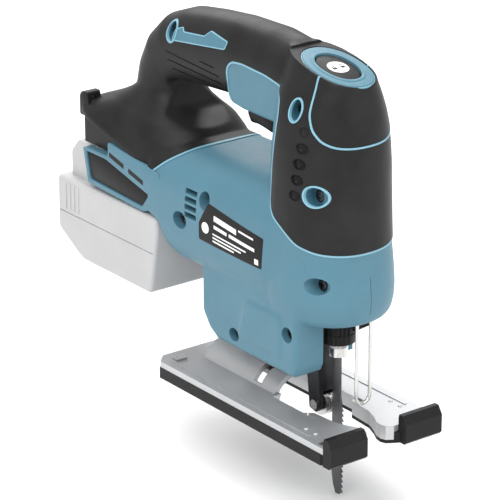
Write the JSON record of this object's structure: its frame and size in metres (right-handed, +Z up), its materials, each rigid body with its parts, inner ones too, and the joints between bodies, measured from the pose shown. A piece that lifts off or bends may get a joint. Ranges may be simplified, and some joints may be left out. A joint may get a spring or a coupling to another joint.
{
  "type": "cordless jigsaw",
  "caption": "Cordless jigsaw with top handle, tilting base, guide roller, sliding battery and a reciprocating blade.",
  "frame": {"origin": "the blade's line at the underside of the sole", "axes": "+Z up along the blade stroke, +X forward toward the blade's teeth, +Y to the tool's left"},
  "size_m": [0.2535, 0.076, 0.2505],
  "materials": {
    "blue_shell": "fine satin texture",
    "black_grip": "soft, finely grained",
    "black_plastic": "matte",
    "white_plastic": "matte",
    "grey_plastic": "matte",
    "plate_metal": "satin, brushed",
    "cast_metal": "as cast",
    "steel": "ground",
    "dark_steel": "black oxide",
    "blade_steel": "ground",
    "copper": "turned",
    "bronze": "sintered",
    "label": "printed film",
    "lens": "clear"
  },
  "bodies": {
    "tool": {"housing_right": "blue_shell", "housing_left": "blue_shell", "head_grip_right": "black_grip", "head_grip_left": "black_grip", "handle_grip_right": "black_grip", "handle_grip_left": "black_grip", "housing_screws": "dark_steel", "rating_label": "label", "work_light": "lens", "guard_wire": "steel", "arm_pivot_pin": "steel", "bevel_saddle": "cast_metal", "bevel_bolt": "dark_steel", "bevel_clamp": "steel", "switch_unit": "black_plastic", "switch_leads": "copper", "button_bezel": "blue_shell", "button_switch": "black_plastic", "controller_board": "black_plastic", "motor_field": "dark_steel", "motor_bearings": "steel", "brush_ring": "black_plastic", "brushes": "dark_steel", "gear_frame": "cast_metal", "plunger_bushes": "bronze", "gear_pin": "steel", "terminal_block": "black_plastic", "terminals": "copper"},
    "trigger": {"trigger": "black_plastic"},
    "lock_button": {"lock_button": "black_plastic", "button_emblem": "white_plastic"},
    "armature": {"armature_shaft": "steel", "armature_core": "steel", "commutator": "copper", "cooling_fan": "white_plastic", "motor_pinion": "steel"},
    "crank_gear": {"crank_gear": "steel"},
    "plunger": {"plunger_rod": "steel", "scotch_yoke": "steel", "blade_holder": "steel", "saw_blade": "blade_steel"},
    "opener": {"tool_opener": "black_plastic"},
    "roller_arm": {"roller_arm": "dark_steel", "roller_axle": "steel"},
    "roller": {"guide_roller": "steel"},
    "orbital_lever": {"orbital_lever": "black_plastic"},
    "base": {"base_plate": "plate_metal", "sole_cover": "black_plastic", "cover_clips": "steel"},
    "battery": {"battery_case": "grey_plastic", "battery_cells": "white_plastic"},
    "battery_button": {"battery_button": "grey_plastic"}
  },
  "joints": [
    {"name": "blade_stroke", "type": "slide", "parent": "tool", "child": "plunger", "axis": [0, 0, 1], "range_m": [0, 0.026]},
    {"name": "base_tilt", "type": "hinge", "parent": "tool", "child": "base", "pos_m": [-0.068, 0, 0.004], "axis": [1, 0, 0], "range_deg": [-45, 45]},
    {"name": "trigger_pull", "type": "slide", "parent": "tool", "child": "trigger", "axis": [0, 0, 1], "range_m": [0, 0.006], "stiffness_N_per_m": 600, "springref_m": -0.004},
    {"name": "lock_button_press", "type": "slide", "parent": "tool", "child": "lock_button", "axis": [-0.2079, 0, -0.9781], "range_m": [0, 0.001], "stiffness_N_per_m": 800, "springref_m": -0.002},
    {"name": "opener_turn", "type": "hinge", "parent": "tool", "child": "opener", "pos_m": [0, 0, 0.05701], "axis": [0, 0, -1], "range_deg": [0, 70], "stiffness_Nm_per_rad": 0.05, "springref_deg": -17.19},
    {"name": "roller_arm_swing", "type": "hinge", "parent": "tool", "child": "roller_arm", "pos_m": [-0.016, 0, 0.04701], "axis": [0, 1, 0], "range_deg": [0, 4]},
    {"name": "roller_spin", "type": "hinge", "parent": "roller_arm", "child": "roller", "pos_m": [-0.0107, 0, 0.011], "axis": [0, 1, 0], "continuous": true},
    {"name": "orbital_select", "type": "hinge", "parent": "tool", "child": "orbital_lever", "pos_m": [-0.034, 0.031, 0.05701], "axis": [0, 1, 0], "range_deg": [-45, 45]},
    {"name": "armature_spin", "type": "hinge", "parent": "tool", "child": "armature", "pos_m": [-0.06, 0, 0.10201], "axis": [1, 0, 0], "continuous": true},
    {"name": "crank_spin", "type": "hinge", "parent": "tool", "child": "crank_gear", "pos_m": [-0.0215, 0, 0.12601], "axis": [1, 0, 0], "continuous": true},
    {"name": "battery_slide", "type": "slide", "parent": "tool", "child": "battery", "axis": [-1, 0, 0], "range_m": [0, 0.095]},
    {"name": "battery_button_press", "type": "slide", "parent": "battery", "child": "battery_button", "axis": [0, 0, -1], "range_m": [0, 0.003], "stiffness_N_per_m": 600, "springref_m": -0.003}
  ],
  "couplings": [
    {"joint": "crank_spin", "follows": "armature_spin", "ratio": -0.2}
  ]
}
